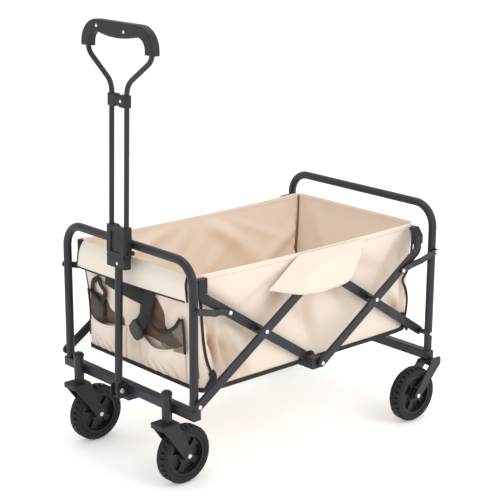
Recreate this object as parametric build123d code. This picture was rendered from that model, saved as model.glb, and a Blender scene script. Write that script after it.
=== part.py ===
from build123d import *
import math
import os

# Folding beach cart: two tube hoops on crossbars, joined on each side by two pairs of
# crossed flat bars, with a fabric bag hung inside, four wheels and a pull handle.
# +Z is up, +X runs to the rear, the handle stands at the front (-X).
# Pieces are drawn about a point on the ground midway between the front and rear posts, and
# written out about the bottom centre of the whole cart's box.
# "side" is -1 for the right-hand side (-Y) and +1 for the left-hand side (+Y).

# ---------------------------------------------------------------- driving dimensions (mm)
POST_X = 416.5          # front and rear post axes, either side of the origin
FRONT_POST_Y = 257.5    # front post axes from the centre plane
REAR_POST_Y = 277.0     # rear post axes: the rear hoop is wider, so the bars nest inside it
TUBE_OD = 22.0          # hoop tube
TUBE_WALL = 1.2
HOOP_BEND_R = 62.0      # centreline radius of a hoop's top corners
FRONT_HOOP_TOP = 588.0  # height of the front hoop's top bar axis
REAR_HOOP_TOP = 599.0

BEAM = 25.0             # square crossbar tube
BEAM_WALL = 1.5
FRONT_BEAM_BOTTOM = 194.0
REAR_BEAM_BOTTOM = 159.0

FOOT_Z = 233.8          # pivots of the lower bar ends on the posts
CROSS_X = 199.0         # pivots where the bars cross, from the middle of the cart
CROSS_Z = 377.0
LINK_PIVOT_RISE = 239.0  # short link's post pivot above the foot pivot
LINK_REACH = 95.8       # short link's bar pivot, in X beyond the crossing

BAR_H = 24.0            # flat-oval bar: height, thickness and wall
BAR_T = 10.0
BAR_WALL = 1.3
BAR_BEND_R = 18.0       # bend where a bar's top end turns up
POST_GAP = 1.0          # bar or link to the face of the post beside it
INNER_POST_GAP = 0.5    # inner bars to the inside of the front posts
B_KINK_X = 378.0        # where the front inner bar turns up
D_KINK_X = 360.0        # where the rear outer bar turns up, short of the rear post
UPTURN_TOP = 522.0      # top of the turned-up bar ends
CAP_TOP = 541.0         # top of the corner caps on them
CAP_WALL = 2.5
CAP_GRIP = 20.0         # length of bar end inside its cap
CAP_CORNER_R = 3.0
CAP_LEAN = (12.0, -26.0)  # rear caps lean back and in, towards the bag's corners
SPACER_R = 7.0          # spacers between crossed bars
MID_SPACER_R = 8.0
BOLT_GRIP = 14.0        # length of the lower mid bolts inside the cross tube

CROSS_TUBE_W = 34.0     # mid cross tube, along X
CROSS_TUBE_H = 30.0
CROSS_TUBE_WALL = 1.5
CROSS_TUBE_REAR = 6.0   # its rear face, behind the lower mid pivot

LINK_H = 16.0
LINK_T = 5.0
LINK_JOG_START = 57.0   # the link steps inwards between these distances from its post pivot
LINK_JOG_END = 90.0

PIN_R = 3.0             # rivets of the folding bars
PIN_CLEAR = 0.05        # radial running clearance of every pin and stem
HEAD_R = 5.5
HEAD_T = 2.6
SEAT_GAP = 0.3          # axial gap under a rivet head or beside a washer

WHEEL_R = 76.0          # 152 mm wheels
WHEEL_W = 38.0
RIM_R = 55.0
RIM_WALL = 6.0
HUB_R = 17.0
HUB_SIDE_GAP = 1.0      # hub end to fork arm
AXLE_R = 4.0
SPOKES = 5
WEB_T = 3.0
TREAD_BLOCKS = 30
TREAD_DEPTH = 4.0

CASTER_Y = 184.0
SOCKET_R = 13.0
SOCKET_BOTTOM = 173.0
SOCKET_TOP = 245.0
KINGPIN_R = 6.0
CASTER_TRAIL = 50.0     # swivel axis to axle
FORK_PLATE = 4.0
FORK_INSIDE = 42.0      # clear width between the fork arms
CROWN_T = 12.0
CROWN_FRONT = 34.0      # caster crown, ahead of and behind its swivel axis
CROWN_REAR = 22.0
REAR_CROWN_FRONT = 10.0  # rear fork crown, past the crossbar's front and rear faces
REAR_CROWN_REAR = 4.0
REAR_AXLE_X = 344.0
REAR_WHEEL_Y = 287.0

MAST_PIVOT = (-451.0, 208.0)  # X and Z of the handle's foot hinge
MAST_LEAN = 1.55        # degrees that the handle leans back against its clip
MAST_R = 10.0
MAST_TOP = 420.0        # along the mast from its hinge
LEG_R = 6.5             # telescoping legs and D loop
LEG_WALL = 1.5
LEG_Y = 30.0
CLIP_BOTTOM = 347.0     # clip block along the mast
CLIP_TOP = 427.0
CLIP_HALF_Y = 38.0
CLIP_FRONT = 12.0       # front of the block from the mast axis
CLIP_GAP = 0.4          # back of the block to the hoop's top bar
JAW_T = 4.0
WING_H = 10.0           # tabs under the front bar, either side of the block
WING_OUT = 9.0
NOTCH_DEEP = 5.0        # finger notches in the block's sides, below the tabs
NOTCH_RISE = 3.0
DISH_R = 26.0           # hollow in the block's top, between the legs
DISH_DEEP = 6.0
JAW_CLEAR = 1.3
COLLAR_H = 24.0
LEG_CLEAR = 0.3
NECK_Z = 738.0          # neck clamp's middle along the mast
NECK_H = 30.0
LOOP_FLARE_Z = 778.0    # D loop's outline, along the mast
LOOP_WIDE_Z = 846.0
LOOP_TOP_Z = 911.0
LOOP_HALF = 126.0
LOOP_BEND_R = 44.0
GRIP_BAND = 30.0
GRIP_HALF_T = 13.0
GRIP_END_Z = 858.0
EAR_T = 3.0
EAR_CLEAR = 0.6

BAG_HALF_X = 400.0
BAG_HALF_Y = 232.0
BAG_BOTTOM = 243.0
BAG_TOP = 548.0
BAG_WALL = 3.0
BAG_CORNER_R = 26.0
BAG_GAP = 1.2           # bag floor to the mid cross tube
BOARD_T = 4.0
BOARD_GAP = 3.0
BAND_DROP = 70.0        # folded-over top band of the front panel
BAND_STAND_OFF = 1.0
BAND_T = 3.0
FLAP_HALF_X = 112.0
FLAP_BOTTOM = 446.0
POCKET_W = 165.0
POCKET_DEPTH = 30.0
POCKET_Y = 112.0
POCKET_BOTTOM = 262.0
POCKET_RIM = 382.0
STRAP_T = 2.0
STRAP_W = 22.0

# ---------------------------------------------------------------- worked-out places
TUBE_R = TUBE_OD / 2
RUN = POST_X - CROSS_X
SLOPE = (CROSS_Z - FOOT_Z) / RUN
MID_TOP_Z = CROSS_Z + CROSS_X * SLOPE
MID_BOTTOM_Z = CROSS_Z - CROSS_X * SLOPE
LINK_POST_Z = FOOT_Z + LINK_PIVOT_RISE
LINK_BAR_X = CROSS_X + LINK_REACH
LINK_BAR_Z = CROSS_Z + LINK_REACH * SLOPE
FRONT_BEAM_TOP = FRONT_BEAM_BOTTOM + BEAM
REAR_BEAM_TOP = REAR_BEAM_BOTTOM + BEAM

# Bar planes, as distances of the bar's middle from the centre plane. The outer bars pass
# outside the front posts, the inner bars inside them.
OUTER_Y = FRONT_POST_Y + TUBE_R + POST_GAP + BAR_T / 2
INNER_Y = FRONT_POST_Y - TUBE_R - INNER_POST_GAP - BAR_T / 2
OUTER_FACE = OUTER_Y + BAR_T / 2
INNER_FACE = INNER_Y + BAR_T / 2
SPACER_OUT = OUTER_Y - BAR_T / 2 - SEAT_GAP
CROSS_TUBE_END = OUTER_Y - BAR_T / 2 - SEAT_GAP
CROSS_TUBE_FRONT = CROSS_TUBE_REAR - CROSS_TUBE_W
CASTER_X = -POST_X - BEAM / 2 - SOCKET_R
FRONT_AXLE_X = CASTER_X + CASTER_TRAIL
CART_FRONT = CASTER_X - CROWN_FRONT
CART_REAR = POST_X + BEAM / 2 + REAR_CROWN_REAR
BOX_CENTRE_X = (CART_FRONT + CART_REAR) / 2

nodes = {}


# ---------------------------------------------------------------- shared shapes
def mirrored(shape):
    """The same shape on the other side of the cart."""
    return mirror(shape, about=Plane.XZ)


def on_side(shape, side):
    """A shape drawn on the left (+Y), placed on the given side."""
    return shape if side > 0 else mirrored(shape)


def box(x0, x1, y0, y1, z0, z1):
    return Pos((x0 + x1) / 2, (y0 + y1) / 2, (z0 + z1) / 2) * Box(x1 - x0, y1 - y0, z1 - z0)


def rod_y(x, z, y0, y1, radius):
    """Cylinder along Y."""
    return Pos(x, (y0 + y1) / 2, z) * Rot(90, 0, 0) * Cylinder(radius, y1 - y0)


def rod_z(x, y, z0, z1, radius):
    return Pos(x, y, (z0 + z1) / 2) * Cylinder(radius, z1 - z0)


def head(x, z, y, outward, radius=HEAD_R, thickness=HEAD_T):
    """Domed rivet head whose flat face is at y."""
    disc = rod_y(x, z, min(y, y + outward * thickness), max(y, y + outward * thickness), radius)
    rim = disc.faces().sort_by(Axis.Y)[-1 if outward > 0 else 0].edges()
    return fillet(rim, thickness * 0.6)


def rivet(x, z, y_in, y_out, radius=PIN_R, inner_head=True):
    """Rivet along Y on the left side: shank from y_in to y_out, domed heads on its ends."""
    body = rod_y(x, z, y_in, y_out, radius) + head(x, z, y_out, 1)
    return body + head(x, z, y_in, -1) if inner_head else body


def hole_y(x, z, radius=PIN_R + PIN_CLEAR):
    """Cutter for a pivot hole, on both sides of the cart."""
    return rod_y(x, z, -400, 400, radius)


def beam(x, half_length, bottom):
    """Closed square tube along Y."""
    outer = box(x - BEAM / 2, x + BEAM / 2, -half_length, half_length, bottom, bottom + BEAM)
    outer = fillet(outer.edges().filter_by(Axis.Y), 3)
    wall = BEAM_WALL
    return outer - box(x - BEAM / 2 + wall, x + BEAM / 2 - wall, -half_length + 2, half_length - 2,
                       bottom + wall, bottom + BEAM - wall)


def hoop(x, half_width, bottom, top):
    """Inverted U of round tube, standing on its crossbar."""
    path = FilletPolyline((x, -half_width, bottom), (x, -half_width, top),
                          (x, half_width, top), (x, half_width, bottom), radius=HOOP_BEND_R)
    start = Plane(origin=(x, -half_width, bottom), z_dir=(0, 0, 1))
    return sweep(start * Circle(TUBE_R), path=path) - sweep(start * Circle(TUBE_R - TUBE_WALL), path=path)


# ---------------------------------------------------------------- folding side bars
def bar_outline(points, height):
    """Side view of a bar: its centreline given a height, with round ends."""
    path = FilletPolyline(*points, radius=BAR_BEND_R) if len(points) > 2 else Line(*points)
    outline = trace(path, height)
    for point in (points[0], points[-1]):
        outline += Pos(*point) * Circle(height / 2)
    return outline


def side_bar(points, y, pivots):
    """Flat-oval tube on the left side, solid round its pivots, with its pivot holes."""
    def slab(height, thickness):
        plane = Plane(origin=(0, y + thickness / 2, 0), x_dir=(1, 0, 0), z_dir=(0, -1, 0))
        return extrude(plane * bar_outline(points, height), thickness)

    bar = slab(BAR_H, BAR_T)
    bar = fillet(bar.edges().filter_by(lambda e: abs(e.center().Y - y) > BAR_T / 2 - 0.1), 3)
    bar -= slab(BAR_H - 2 * BAR_WALL, BAR_T - 2 * BAR_WALL)
    for x, z in pivots + [points[0], points[-1]]:
        bar += rod_y(x, z, y - BAR_T / 2, y + BAR_T / 2, BAR_H / 2 - 2)
    for x, z in pivots:
        bar -= hole_y(x, z)
    return bar


FOOT = (-POST_X, FOOT_Z)
CROSS = (-CROSS_X, CROSS_Z)
MID_TOP = (0.0, MID_TOP_Z)
MID_BOTTOM = (0.0, MID_BOTTOM_Z)


def to_rear(point):
    return (-point[0], point[1])


def rising_bar(kink_x, side_of_cart):
    """Centreline from the lower mid pivot through the crossing to the turned-up end."""
    kink = (side_of_cart * kink_x, MID_BOTTOM_Z + kink_x * SLOPE)
    return [MID_BOTTOM, kink, (side_of_cart * kink_x, UPTURN_TOP - BAR_H / 2)]


LINK_BAR = (-LINK_BAR_X, LINK_BAR_Z)


def corner_cap(x, y, lean_x, lean_y):
    """Plastic cap on a turned-up bar end, which carries the bag's corner."""
    section = RectangleRounded(BAR_H + 2 * CAP_WALL, BAR_T + 2 * CAP_WALL, CAP_CORNER_R)
    shoulder = UPTURN_TOP + CAP_WALL
    sleeve = Pos(x, y, UPTURN_TOP - CAP_GRIP) * extrude(section, CAP_GRIP + CAP_WALL)
    horn = loft([Pos(x, y, shoulder) * section, Pos(x + lean_x, y + lean_y, CAP_TOP) * section])
    socket = box(x - BAR_H / 2, x + BAR_H / 2, y - BAR_T / 2, y + BAR_T / 2, 0, UPTURN_TOP)
    return sleeve - socket + horn


def build_side_bars():
    foot_bar = side_bar([FOOT, MID_TOP], OUTER_Y, [FOOT, CROSS, MID_TOP])
    front_rising = side_bar(rising_bar(B_KINK_X, -1), INNER_Y, [CROSS])
    front_rising -= box(CROSS_TUBE_FRONT, 100, 0, 400, 0, 400)
    rear_foot_bar = side_bar([to_rear(FOOT), MID_TOP], INNER_Y, [to_rear(FOOT), to_rear(CROSS), MID_TOP])
    rear_rising = side_bar(rising_bar(D_KINK_X, 1), OUTER_Y, [MID_BOTTOM, to_rear(CROSS)])
    for name, bar in (("front_foot_bar", foot_bar), ("front_rising_bar", front_rising),
                      ("rear_foot_bar", rear_foot_bar), ("rear_rising_bar", rear_rising)):
        nodes[name + "_left"] = bar
        nodes[name + "_right"] = mirrored(bar)


def pair(shape):
    """One solid on each side of the cart, as a group."""
    return Compound([shape, mirrored(shape)])


def build_bar_fittings():
    head_y = OUTER_FACE + SEAT_GAP
    cross_in = INNER_Y - BAR_T / 2
    # The crossing rivets and spacers belong to the foot bar in front and the rising bar behind.
    front = rivet(*CROSS, cross_in, head_y, inner_head=False) + \
        rod_y(*CROSS, INNER_FACE + SEAT_GAP, SPACER_OUT, SPACER_R)
    nodes["front_cross_rivets"] = pair(front)
    x, z = to_rear(CROSS)
    rear = rivet(x, z, cross_in, head_y, inner_head=False) + \
        rod_y(x, z, INNER_FACE + SEAT_GAP, SPACER_OUT, SPACER_R)
    nodes["rear_cross_rivets"] = pair(rear)
    pin = rivet(*MID_TOP, cross_in, head_y, inner_head=False) + \
        rod_y(*MID_TOP, INNER_FACE + SEAT_GAP, SPACER_OUT, MID_SPACER_R)
    nodes["mid_top_pins"] = pair(pin)
    bolt = rivet(*MID_BOTTOM, CROSS_TUBE_END - BOLT_GRIP, head_y, inner_head=False)
    nodes["mid_bottom_bolts"] = pair(bolt)
    nodes["front_corner_caps"] = pair(corner_cap(-B_KINK_X, INNER_Y, 0, 0))
    nodes["rear_corner_caps"] = pair(corner_cap(D_KINK_X, OUTER_Y, *CAP_LEAN))


def build_cross_tube():
    z0 = MID_BOTTOM_Z - CROSS_TUBE_H / 2
    z1 = z0 + CROSS_TUBE_H
    outer = box(CROSS_TUBE_FRONT, CROSS_TUBE_REAR, -CROSS_TUBE_END, CROSS_TUBE_END, z0, z1)
    outer = fillet(outer.edges().filter_by(Axis.Y), 3)
    wall = CROSS_TUBE_WALL
    void = box(CROSS_TUBE_FRONT + wall, CROSS_TUBE_REAR - wall, -CROSS_TUBE_END + 16,
               CROSS_TUBE_END - 16, z0 + wall, z1 - wall)
    hole = rod_y(*MID_BOTTOM, CROSS_TUBE_END - 15, CROSS_TUBE_END + 1, PIN_R + PIN_CLEAR)
    nodes["mid_cross_tube"] = outer - void - hole - mirrored(hole)


def short_link(post_face, bar_face, toward_rear):
    """Flat link with a step: its outer end lies on the post, its inner end by the bar."""
    reach = math.hypot(POST_X - LINK_BAR_X, LINK_POST_Z - LINK_BAR_Z)
    angle = math.degrees(math.atan2(LINK_BAR_Z - LINK_POST_Z, POST_X - LINK_BAR_X))
    y0, y1 = post_face + POST_GAP, bar_face + POST_GAP
    end = LINK_H / 2
    plan = make_face(Polyline(
        (-end, y0), (LINK_JOG_START, y0), (LINK_JOG_END, y1), (reach + end, y1),
        (reach + end, y1 + LINK_T), (LINK_JOG_END + 2, y1 + LINK_T),
        (LINK_JOG_START + 2, y0 + LINK_T), (-end, y0 + LINK_T), (-end, y0)))
    strip = Pos(0, 0, -end) * extrude(plan, LINK_H)
    side_plane = Plane(origin=(0, 400, 0), x_dir=(1, 0, 0), z_dir=(0, -1, 0))
    slot = extrude(side_plane * Pos(reach / 2, 0) * SlotCenterToCenter(reach, LINK_H), 400)
    link = strip & slot
    link -= hole_y(0, 0)
    link = Pos(-POST_X, 0, LINK_POST_Z) * Rot(0, -angle, 0) * link
    return mirror(link, about=Plane.YZ) if toward_rear else link


def build_links():
    front = short_link(FRONT_POST_Y + TUBE_R, INNER_FACE, False)
    rear = short_link(REAR_POST_Y + TUBE_R, OUTER_FACE, True)
    for name, link, face, x in (("front_link", front, INNER_FACE, -LINK_BAR_X),
                                ("rear_link", rear, OUTER_FACE, LINK_BAR_X)):
        link += head(x, LINK_BAR_Z, face + POST_GAP + LINK_T, 1)
        nodes[name + "_left"] = link
        nodes[name + "_right"] = mirrored(link)


# ---------------------------------------------------------------- front frame
def pivot_holes(frame, x):
    return frame - hole_y(x, FOOT_Z) - hole_y(x, LINK_POST_Z)


def build_front_frame():
    hoop_tube = hoop(-POST_X, FRONT_POST_Y, FRONT_BEAM_TOP, FRONT_HOOP_TOP)
    nodes["front_hoop"] = pivot_holes(hoop_tube, -POST_X)
    nodes["front_crossbar"] = beam(-POST_X, FRONT_POST_Y + TUBE_R, FRONT_BEAM_BOTTOM)
    y_in = FRONT_POST_Y - TUBE_R
    foot = rivet(-POST_X, FOOT_Z, y_in, OUTER_FACE + SEAT_GAP)
    link = rivet(-POST_X, LINK_POST_Z, y_in,
                 FRONT_POST_Y + TUBE_R + POST_GAP + LINK_T + SEAT_GAP, inner_head=False)
    nodes["front_pivot_bolts"] = Compound([foot, mirrored(foot), link, mirrored(link)])


def build_sockets():
    beam_front = -POST_X - BEAM / 2
    for side, word in ((1, "left"), (-1, "right")):
        y = CASTER_Y
        socket = rod_z(CASTER_X, y, SOCKET_BOTTOM, SOCKET_TOP, SOCKET_R)
        web = box(CASTER_X, beam_front, y - 9, y + 9, FRONT_BEAM_BOTTOM + 2, FRONT_BEAM_TOP - 2)
        socket = socket + web
        socket -= rod_z(CASTER_X, y, SOCKET_BOTTOM, SOCKET_TOP, KINGPIN_R + PIN_CLEAR)
        socket -= rod_z(CASTER_X, y, SOCKET_TOP - 12, SOCKET_TOP, KINGPIN_R + 4)
        nodes["caster_socket_" + word] = on_side(socket, side)
    cap = rod_z(CASTER_X, CASTER_Y, SOCKET_TOP, SOCKET_TOP + 11, SOCKET_R + 1.2)
    cap = fillet(cap.faces().sort_by(Axis.Z)[-1].edges(), 9)
    nodes["socket_caps"] = pair(cap)


def build_handle_bracket():
    """U channel on the front crossbar, with a saddle under the bar."""
    px, pz = MAST_PIVOT
    beam_front = -POST_X - BEAM / 2
    ear_in = MAST_R + EAR_CLEAR
    ear_out = ear_in + EAR_T
    floor = pz - 18
    ear = box(px - 16, beam_front, ear_in, ear_out, floor, pz + 16)
    ear = fillet(ear.edges().filter_by(Axis.Y).group_by(Axis.X)[0], 10)
    back = box(beam_front - EAR_T, beam_front, -ear_out, ear_out, floor, pz + 16)
    base = box(px - 6, beam_front, -ear_out, ear_out, floor - EAR_T, floor)
    saddle = box(beam_front - 6, -POST_X + BEAM / 2 + 3, -20, 20, FRONT_BEAM_BOTTOM - 16, FRONT_BEAM_BOTTOM)
    lip = box(-POST_X + BEAM / 2, -POST_X + BEAM / 2 + 3, -20, 20, FRONT_BEAM_BOTTOM - 8, FRONT_BEAM_BOTTOM + 18)
    bracket = ear + mirrored(ear) + back + base + saddle + lip
    bracket -= hole_y(px, pz, AXLE_R + PIN_CLEAR)
    nodes["handle_bracket"] = bracket
    bolt = rod_y(px, pz, -ear_out - SEAT_GAP, ear_out + SEAT_GAP, AXLE_R)
    for outward in (-1, 1):
        bolt += head(px, pz, outward * (ear_out + SEAT_GAP), outward, 6.5, 4)
    nodes["handle_hinge_bolt"] = bolt


# ---------------------------------------------------------------- handle
def on_mast(shape):
    """Places a shape drawn along an upright mast whose hinge is at its origin."""
    return Pos(MAST_PIVOT[0], 0, MAST_PIVOT[1]) * Rot(0, MAST_LEAN, 0) * shape


def mast_point(x, z):
    """A point of the cart, in the mast's own upright coordinates."""
    lean = math.radians(MAST_LEAN)
    dx, dz = x - MAST_PIVOT[0], z - MAST_PIVOT[1]
    return (dx * math.cos(lean) - dz * math.sin(lean), dx * math.sin(lean) + dz * math.cos(lean))


def build_mast():
    foot = 12.0
    tube = rod_z(0, 0, -foot, MAST_TOP, MAST_R) - rod_z(0, 0, foot, MAST_TOP - 3, MAST_R - 1.5)
    tube = fillet(tube.faces().sort_by(Axis.Z)[0].edges(), 4)
    nodes["mast_tube"] = on_mast(tube - hole_y(0, 0, AXLE_R + PIN_CLEAR))


def build_clip_block():
    bar_x, bar_z = mast_point(-POST_X, FRONT_HOOP_TOP)
    back = bar_x - TUBE_R - CLIP_GAP
    block = box(-CLIP_FRONT, back, -CLIP_HALF_Y, CLIP_HALF_Y, CLIP_BOTTOM, CLIP_TOP)
    block = fillet(block.edges().filter_by(Axis.Z), 5)
    waist = box(-CLIP_FRONT - 1, -CLIP_FRONT + 3, -LEG_Y + 11, LEG_Y - 11, CLIP_BOTTOM + 14, CLIP_TOP - 14)
    block -= waist
    block -= Pos(0, 0, CLIP_TOP + DISH_R - DISH_DEEP) * Rot(0, 90, 0) * Cylinder(DISH_R, 100)
    jaw_reach = bar_x + 5
    opening = TUBE_R + JAW_CLEAR
    wing_top = bar_z - opening
    wing_bottom = wing_top - WING_H
    wing = box(-2, back, -CLIP_HALF_Y - WING_OUT, CLIP_HALF_Y + WING_OUT, wing_bottom, wing_top)
    block += fillet(wing.edges().filter_by(Axis.X), 2)
    for side in (-1, 1):
        notch = box(-50, 50, CLIP_HALF_Y - NOTCH_DEEP, CLIP_HALF_Y + 1, CLIP_BOTTOM + NOTCH_RISE, wing_bottom)
        block -= on_side(notch, side)
    for z0 in (bar_z + opening, bar_z - opening - JAW_T):
        jaw = box(back - 2, jaw_reach, -16, 16, z0, z0 + JAW_T)
        block += fillet(jaw.edges().filter_by(Axis.Y).group_by(Axis.X)[-1], 1.5)
    block -= rod_z(0, 0, CLIP_BOTTOM, MAST_TOP, MAST_R)
    for y in (-LEG_Y, LEG_Y):
        block -= rod_z(0, y, CLIP_BOTTOM, CLIP_TOP, LEG_R + LEG_CLEAR)
    nodes["clip_block"] = on_mast(block)


def loop_path(z_start):
    return FilletPolyline(
        (0, -LEG_Y, z_start), (0, -LEG_Y, LOOP_FLARE_Z), (0, -LOOP_HALF, LOOP_WIDE_Z),
        (0, -LOOP_HALF, LOOP_TOP_Z), (0, LOOP_HALF, LOOP_TOP_Z), (0, LOOP_HALF, LOOP_WIDE_Z),
        (0, LEG_Y, LOOP_FLARE_Z), (0, LEG_Y, z_start),
        radius=[LOOP_BEND_R, LOOP_BEND_R * 0.8, LOOP_BEND_R, LOOP_BEND_R, LOOP_BEND_R * 0.8, LOOP_BEND_R])


def build_loop():
    bottom = CLIP_BOTTOM - 1 - COLLAR_H + 3
    path = loop_path(bottom)
    start = Plane(origin=(0, -LEG_Y, bottom), z_dir=(0, 0, 1))
    tube = sweep(start * Circle(LEG_R), path=path) - sweep(start * Circle(LEG_R - LEG_WALL), path=path)
    nodes["loop_tube"] = on_mast(tube)

    collar_top = CLIP_BOTTOM - 1
    collar = box(-11, 11, -CLIP_HALF_Y, CLIP_HALF_Y, collar_top - COLLAR_H, collar_top)
    collar = fillet(collar.edges().filter_by(Axis.Z), 5)
    collar -= rod_z(0, 0, 0, MAST_TOP, MAST_R + LEG_CLEAR)
    for y in (-LEG_Y, LEG_Y):
        collar -= rod_z(0, y, bottom, collar_top, LEG_R)
    nodes["slider_collar"] = on_mast(collar)

    neck = box(-9, 9, -CLIP_HALF_Y, CLIP_HALF_Y, NECK_Z - NECK_H / 2, NECK_Z + NECK_H / 2)
    neck = fillet(neck.edges().filter_by(Axis.Z), 4)
    for y in (-LEG_Y, LEG_Y):
        neck -= rod_z(0, y, 0, 900, LEG_R)
    for z in (NECK_Z + NECK_H / 2, NECK_Z - NECK_H / 2):
        neck -= Pos(0, 0, z) * Rot(0, 90, 0) * Cylinder(9, 30)
    nodes["neck_clamp"] = on_mast(neck)


def grip_outline():
    """Front view of the grip: a band round the top of the loop with a fuller underside."""
    path = FilletPolyline((-LOOP_HALF, GRIP_END_Z), (-LOOP_HALF, LOOP_TOP_Z),
                          (LOOP_HALF, LOOP_TOP_Z), (LOOP_HALF, GRIP_END_Z), radius=LOOP_BEND_R)
    band = trace(path, GRIP_BAND)
    low = LOOP_TOP_Z - GRIP_BAND / 2
    belly_top = Line((-84, low + 2), (84, low + 2))
    belly = make_face([belly_top, ThreePointArc((84, low + 2), (0, low - 9), (-84, low + 2))])
    return band + belly


def build_grip():
    outline = grip_outline()
    path = loop_path(CLIP_BOTTOM)
    channel = sweep(Plane(origin=(0, -LEG_Y, CLIP_BOTTOM), z_dir=(0, 0, 1)) * Circle(LEG_R), path=path)
    for name, outward in (("grip_front_shell", -1), ("grip_rear_shell", 1)):
        plane = Plane(origin=(0, 0, 0), x_dir=(0, 1, 0), z_dir=(1, 0, 0))
        shell = extrude(plane * outline, outward * GRIP_HALF_T)
        shell = fillet(shell.faces().sort_by(Axis.X)[-1 if outward > 0 else 0].edges(), 5)
        shell -= channel
        nodes[name] = on_mast(shell)


def build_handle_fasteners():
    """Screws and rivets that ride on the sliding loop, in front of what they hold."""
    spots = [(-GRIP_HALF_T, 74, LOOP_TOP_Z), (-GRIP_HALF_T, -34, LOOP_TOP_Z - 6),
             (-9, -LEG_Y / 2 - 2, NECK_Z), (-11, -8, CLIP_BOTTOM - 1 - COLLAR_H / 2)]
    screws = []
    for x, y, z in spots:
        screw = Pos(x - 1.2, y, z) * Rot(0, 90, 0) * Cylinder(4.2, 2.4)
        screws.append(on_mast(fillet(screw.faces().sort_by(Axis.X)[0].edges(), 1.4)))
    nodes["handle_fasteners"] = Compound(screws)


# ---------------------------------------------------------------- wheels
def wheel_hub(x, y, bore):
    """Plastic hub: rim, closed web with pockets between its spokes, and a boss."""
    half = WHEEL_W / 2
    rim = Cylinder(RIM_R, WHEEL_W - 6) - Cylinder(RIM_R - RIM_WALL, WHEEL_W)
    web = Cylinder(RIM_R - RIM_WALL + 1, 16)
    window_in, window_out = HUB_R + 5, RIM_R - RIM_WALL - 3
    half_angle = 180 / SPOKES - 13
    for i in range(SPOKES):
        sector = Polygon((0, 0), (90 * math.cos(math.radians(half_angle)), 90 * math.sin(math.radians(half_angle))),
                         (90 * math.cos(math.radians(half_angle)), -90 * math.sin(math.radians(half_angle))),
                         align=None)
        window = (Circle(window_out) - Circle(window_in)) & sector
        window = fillet(window.vertices(), 4)
        web -= Rot(0, 0, 360 / SPOKES * i) * Pos(0, 0, -20) * extrude(window, 40)
    web += Cylinder(RIM_R - RIM_WALL + 1, WEB_T)
    boss_half = FORK_INSIDE / 2 - HUB_SIDE_GAP
    boss = Cylinder(HUB_R, 2 * (half - 2)) + Cylinder(HUB_R - 6, 2 * boss_half)
    hub = rim + web + boss - Cylinder(bore, 100)
    return Pos(x, y, WHEEL_R) * Rot(90, 0, 0) * hub


def wheel_tyre(x, y):
    """Tyre with blocks along both shoulders, staggered from one side to the other."""
    half = WHEEL_W / 2
    profile = make_face(Polyline((RIM_R, -half + 3), (RIM_R + 3, -half), (WHEEL_R - 7, -half), (WHEEL_R, -half + 8),
                                 (WHEEL_R, half - 8), (WHEEL_R - 7, half), (RIM_R + 3, half), (RIM_R, half - 3),
                                 (RIM_R, -half + 3)))
    tyre = revolve(Plane.XZ * profile, Axis.Z)
    groove = Box(TREAD_DEPTH * 2, 5, half - 4)
    cuts = []
    for i in range(TREAD_BLOCKS):
        for sign, offset in ((1, 0), (-1, 0.5)):
            turn = Rot(0, 0, 360 / TREAD_BLOCKS * (i + offset))
            cuts.append(turn * Pos(WHEEL_R, 0, sign * (half + 4) / 2) * groove)
    tyre -= cuts
    return Pos(x, y, WHEEL_R) * Rot(90, 0, 0) * tyre


def axle(x, y):
    """Axle bolt through both fork arms, with a domed end on each side."""
    half = FORK_INSIDE / 2 + FORK_PLATE + SEAT_GAP
    bolt = rod_y(x, WHEEL_R, y - half, y + half, AXLE_R)
    for outward in (-1, 1):
        bolt += head(x, WHEEL_R, y + outward * half, outward, 6, 3)
    return bolt


def fork_arms(crown_points, axle_x, axle_end_r, y):
    """Two flat arms from a crown down to the axle."""
    tip = Pos(axle_x, WHEEL_R) * Circle(axle_end_r)
    outline = make_hull((Polyline(*crown_points, close=True)).edges() + tip.edges())
    inside = FORK_INSIDE / 2
    arms = []
    for y0 in (y - inside - FORK_PLATE, y + inside):
        plane = Plane(origin=(0, y0 + FORK_PLATE, 0), x_dir=(1, 0, 0), z_dir=(0, -1, 0))
        arm = extrude(plane * outline, FORK_PLATE)
        arms.append(arm)
    return arms


def build_casters():
    crown_top = SOCKET_BOTTOM - SEAT_GAP
    crown_low = crown_top - CROWN_T
    x0, x1 = CASTER_X - CROWN_FRONT, CASTER_X + CROWN_REAR
    half = FORK_INSIDE / 2 + FORK_PLATE
    for side, word in ((1, "left"), (-1, "right")):
        crown = box(x0, x1, CASTER_Y - half, CASTER_Y + half, crown_low, crown_top)
        crown = fillet(crown.edges().filter_by(Axis.Z), 5)
        corners = [(x0 + 5, crown_low), (x0 + 5, crown_top - 1), (x1 - 5, crown_top - 1), (x1 - 2, crown_low)]
        fork = crown
        for arm in fork_arms(corners, FRONT_AXLE_X, 13, CASTER_Y):
            fork += arm
        fork -= rod_y(FRONT_AXLE_X, WHEEL_R, 0, 300, AXLE_R + PIN_CLEAR)
        fork -= rod_z(CASTER_X, CASTER_Y, 0, 300, KINGPIN_R)
        nodes["caster_fork_" + word] = on_side(fork, side)
        kingpin = rod_z(CASTER_X, CASTER_Y, crown_low, SOCKET_TOP - 2, KINGPIN_R)
        nut = Pos(CASTER_X, CASTER_Y, SOCKET_TOP - 7.7) * extrude(RegularPolygon(9, 6), 6)
        bolts = Compound([kingpin + nut, axle(FRONT_AXLE_X, CASTER_Y)])
        nodes["caster_bolts_" + word] = on_side(bolts, side)
        hub = wheel_hub(FRONT_AXLE_X, CASTER_Y, AXLE_R + PIN_CLEAR)
        nodes["front_hub_" + word] = on_side(hub, side)
        nodes["front_tyre_" + word] = on_side(wheel_tyre(FRONT_AXLE_X, CASTER_Y), side)


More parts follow.
